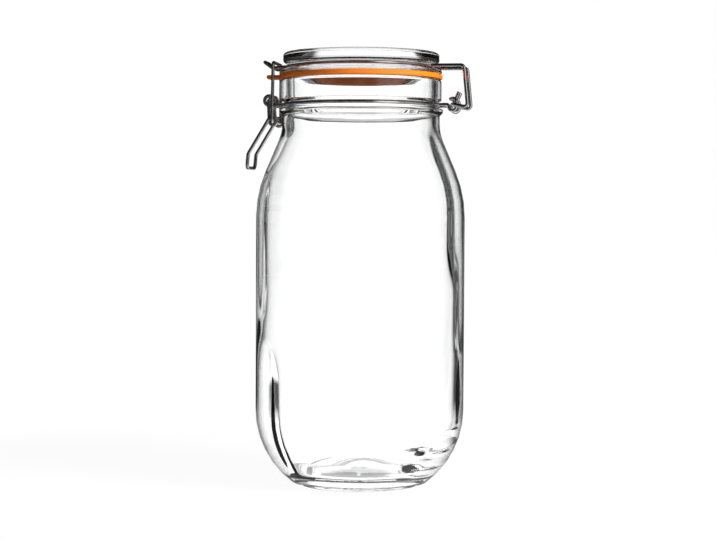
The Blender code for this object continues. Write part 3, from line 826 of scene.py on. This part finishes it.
def floor_material():
    """White paper with a soft shadow, and with a glow of its own for all but diffuse rays."""
    made, nodes, shader, output = new_material("white_paper")
    place = nodes.place()
    tooth = nodes.noise(place, *PAPER_TOOTH)
    nodes.feed(shader.inputs["Base Color"], nodes.mix(tooth, *PAPER_TONES))
    shader.inputs["Roughness"].default_value = PAPER_ROUGHNESS
    path = nodes.add("ShaderNodeLightPath")
    seen = nodes.math("MAXIMUM", path.outputs["Is Camera Ray"], path.outputs["Is Transmission Ray"])
    seen = nodes.math("MAXIMUM", seen, path.outputs["Is Glossy Ray"])
    away = nodes.add("ShaderNodeVectorMath", {0: place}, operation="LENGTH").outputs["Value"]
    near = nodes.fade(away, PAPER_FAR, PAPER_NEAR)
    flat = level(nodes, place)
    glow = nodes.math("MULTIPLY", near, SURFACE_NEAR_GLOW)
    surface = nodes.math("MAXIMUM", glow, panel_tone(nodes, flat, SURFACE_PANELS))
    glow = nodes.math("MULTIPLY", near, INNER_NEAR_GLOW)
    inner = nodes.math("MAXIMUM", glow, panel_tone(nodes, flat, INNER_PANELS))
    seen_glow = blend_tone(nodes, near, FAR_PAPER_GLOW, PAPER_GLOW)
    # Painted contact shadow: reflections inside the glass see the paper darkened under the foot.
    clear = nodes.fade(away, PAINTED_SHADOW_CORE, PAINTED_SHADOW_EDGE)
    inner = nodes.math("MULTIPLY", inner, nodes.math("MAXIMUM", clear, PAINTED_SHADOW_TONE))
    tone = glow_by_ray(nodes, surface, inner, THROUGH_GLOW / PAPER_GLOW_SHARE, seen_glow)
    white = nodes.add("ShaderNodeEmission", {"Color": (1, 1, 1, 1), "Strength": tone})
    share = nodes.math("MULTIPLY", seen, PAPER_GLOW_SHARE)
    both = nodes.add("ShaderNodeMixShader", {"Fac": share})
    nodes.feed(both.inputs[1], shader.outputs[0])
    nodes.feed(both.inputs[2], white.outputs[0])
    nodes.feed(output.inputs["Surface"], both.outputs[0])
    return made


def sector(nodes, flat, azimuth, half_width, softness):
    """One within an arc of the horizon, nought outside it. The azimuth turns from -Y towards +X."""
    toward = (math.sin(azimuth), -math.cos(azimuth), 0)
    along = nodes.add("ShaderNodeVectorMath", {0: flat, 1: toward}, operation="DOT_PRODUCT").outputs["Value"]
    return nodes.fade(along, math.cos(half_width + softness), math.cos(half_width - softness))


def level(nodes, direction):
    """The direction's level part, at unit length."""
    flat = nodes.add("ShaderNodeVectorMath", {0: direction, 1: (1, 1, 0)}, operation="MULTIPLY")
    return nodes.add("ShaderNodeVectorMath", {0: flat.outputs[0]}, operation="NORMALIZE").outputs[0]


def panel_tone(nodes, flat, panels):
    """The grey of the room in a level direction: dark, with lit panels."""
    tone = STUDIO_DARK
    for azimuth, half_width, softness, strength in panels:
        lit = sector(nodes, flat, azimuth, half_width, softness)
        tone = nodes.math("MULTIPLY_ADD", lit, strength, tone)
    return tone


def blend_tone(nodes, factor, first, second):
    """A blend of two numbers, which are sockets 2 and 3 of a Mix node."""
    return nodes.add("ShaderNodeMix", {0: factor, 2: first, 3: second}, data_type="FLOAT").outputs[0]


def has_depth(nodes, path, kind):
    """One where the ray has had at least one bounce of this kind. Depths are whole numbers."""
    return nodes.math("GREATER_THAN", path.outputs[kind], 0.5)


def glow_by_ray(nodes, surface, inner, through, seen):
    """The tone for a reflection off a surface, one inside glass, a clear view through it, or the camera.

    A ray that has bounced off something matt and passed through glass gets a soft tone instead.
    """
    path = nodes.add("ShaderNodeLightPath")
    mirrored_ray = has_depth(nodes, path, "Glossy Depth")
    inside_ray = has_depth(nodes, path, "Transmission Depth")
    soft_ray = has_depth(nodes, path, "Diffuse Depth")
    straight = nodes.math("SUBTRACT", path.outputs["Is Transmission Ray"], mirrored_ray)
    tone = blend_tone(nodes, inside_ray, surface, inner)
    tone = blend_tone(nodes, straight, tone, through)
    tone = blend_tone(nodes, nodes.math("MULTIPLY", soft_ray, inside_ray), tone, SOFT_GLOW)
    return blend_tone(nodes, path.outputs["Is Camera Ray"], tone, seen)


def make_world():
    """A white room to the camera and through clear glass, and a dark one with lit panels in reflections."""
    world = bpy.data.worlds.new("studio")
    bpy.context.scene.world = world
    world.use_nodes = True
    world.node_tree.nodes.clear()
    nodes = Nodes(world.node_tree)
    direction = nodes.add("ShaderNodeTexCoord").outputs["Generated"]
    up = nodes.add("ShaderNodeSeparateXYZ", {"Vector": direction}).outputs["Z"]
    whole, gone = SURFACE_FADE
    low = nodes.fade(up, gone, whole)
    whole, gone = OVERHEAD_FADE
    below_zenith = nodes.fade(up, gone, whole)
    flat = level(nodes, direction)
    surface = nodes.math("MULTIPLY", panel_tone(nodes, flat, SURFACE_PANELS), low)
    inner = nodes.math("MULTIPLY", panel_tone(nodes, flat, INNER_PANELS), below_zenith)
    through = nodes.math("MULTIPLY", below_zenith, THROUGH_GLOW)
    tone = glow_by_ray(nodes, surface, inner, through, ROOM_GLOW)
    background = nodes.add("ShaderNodeBackground", {"Color": tone, "Strength": 1.0})
    nodes.add("ShaderNodeOutputWorld", {"Surface": background.outputs[0]})


def make_floor(finish):
    reach = FLOOR_REACH
    mesh = bpy.data.meshes.new("studio_floor")
    corners = [(-reach, -reach, 0), (reach, -reach, 0), (reach, reach, 0), (-reach, reach, 0)]
    mesh.from_pydata(corners, [], [(0, 1, 2, 3)])
    mesh.materials.append(finish)
    floor = new_object("studio_floor", mesh)


def softbox(name, place, size, power):
    """A lamp that lights matt surfaces. Glass and metal see the world's panels instead."""
    light = bpy.data.lights.new(name, "AREA")
    light.shape = "RECTANGLE"
    light.size, light.size_y = size
    light.energy = power
    lamp = bpy.data.objects.new(name, light)
    bpy.context.scene.collection.objects.link(lamp)
    lamp.location = place
    lamp.rotation_euler = (Vector(LAMP_AIM) - Vector(place)).to_track_quat("-Z", "Y").to_euler()
    lamp.visible_glossy = False
    lamp.visible_transmission = False


def make_lamps():
    softbox("key_softbox", *KEY_LAMP)
    softbox("fill_softbox", *FILL_LAMP)


def make_camera():
    data = bpy.data.cameras.new("camera")
    data.lens = CAMERA_LENS
    camera = bpy.data.objects.new("camera", data)
    bpy.context.scene.collection.objects.link(camera)
    flat = Vector((math.sin(CAMERA_AZIMUTH), -math.cos(CAMERA_AZIMUTH), 0)) * CAMERA_DISTANCE
    camera.location = flat + Vector((0, 0, CAMERA_HEIGHT))
    aim = Vector((AIM_SIDE, 0, AIM_HEIGHT))
    look = (aim - camera.location).to_track_quat("-Z", "Y").to_matrix()
    camera.rotation_euler = (look @ Matrix.Rotation(CAMERA_ROLL, 3, "Z")).to_euler()
    bpy.context.scene.camera = camera


def dress(piece, body, node):
    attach(piece, body)
    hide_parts(node)


def main():
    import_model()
    jar_glass = glass_material("jar_glass", JAR_PAINTED_EDGE_SHADE)
    lid_glass = glass_material("lid_glass", LID_PAINTED_EDGE_SHADE)
    steel = steel_material()
    rubber = rubber_material()

    dress(make_jar(jar_glass), "jar", "glass_jar")
    dress(make_neck_wire(steel), "jar", "neck_wire")
    dress(make_lid(lid_glass), "lid", "glass_lid")
    for piece in make_seal(rubber):
        dress(piece, "lid", "rubber_seal")
    dress(make_lid_wire(steel), "lid", "lid_wire")
    dress(make_lever(steel), "lever", "clamp_lever")
    dress(make_bail(steel), "bail", "wire_bail")

    make_world()
    make_floor(floor_material())
    make_lamps()
    make_camera()
    bpy.context.scene.view_settings.view_transform = "Standard"


main()
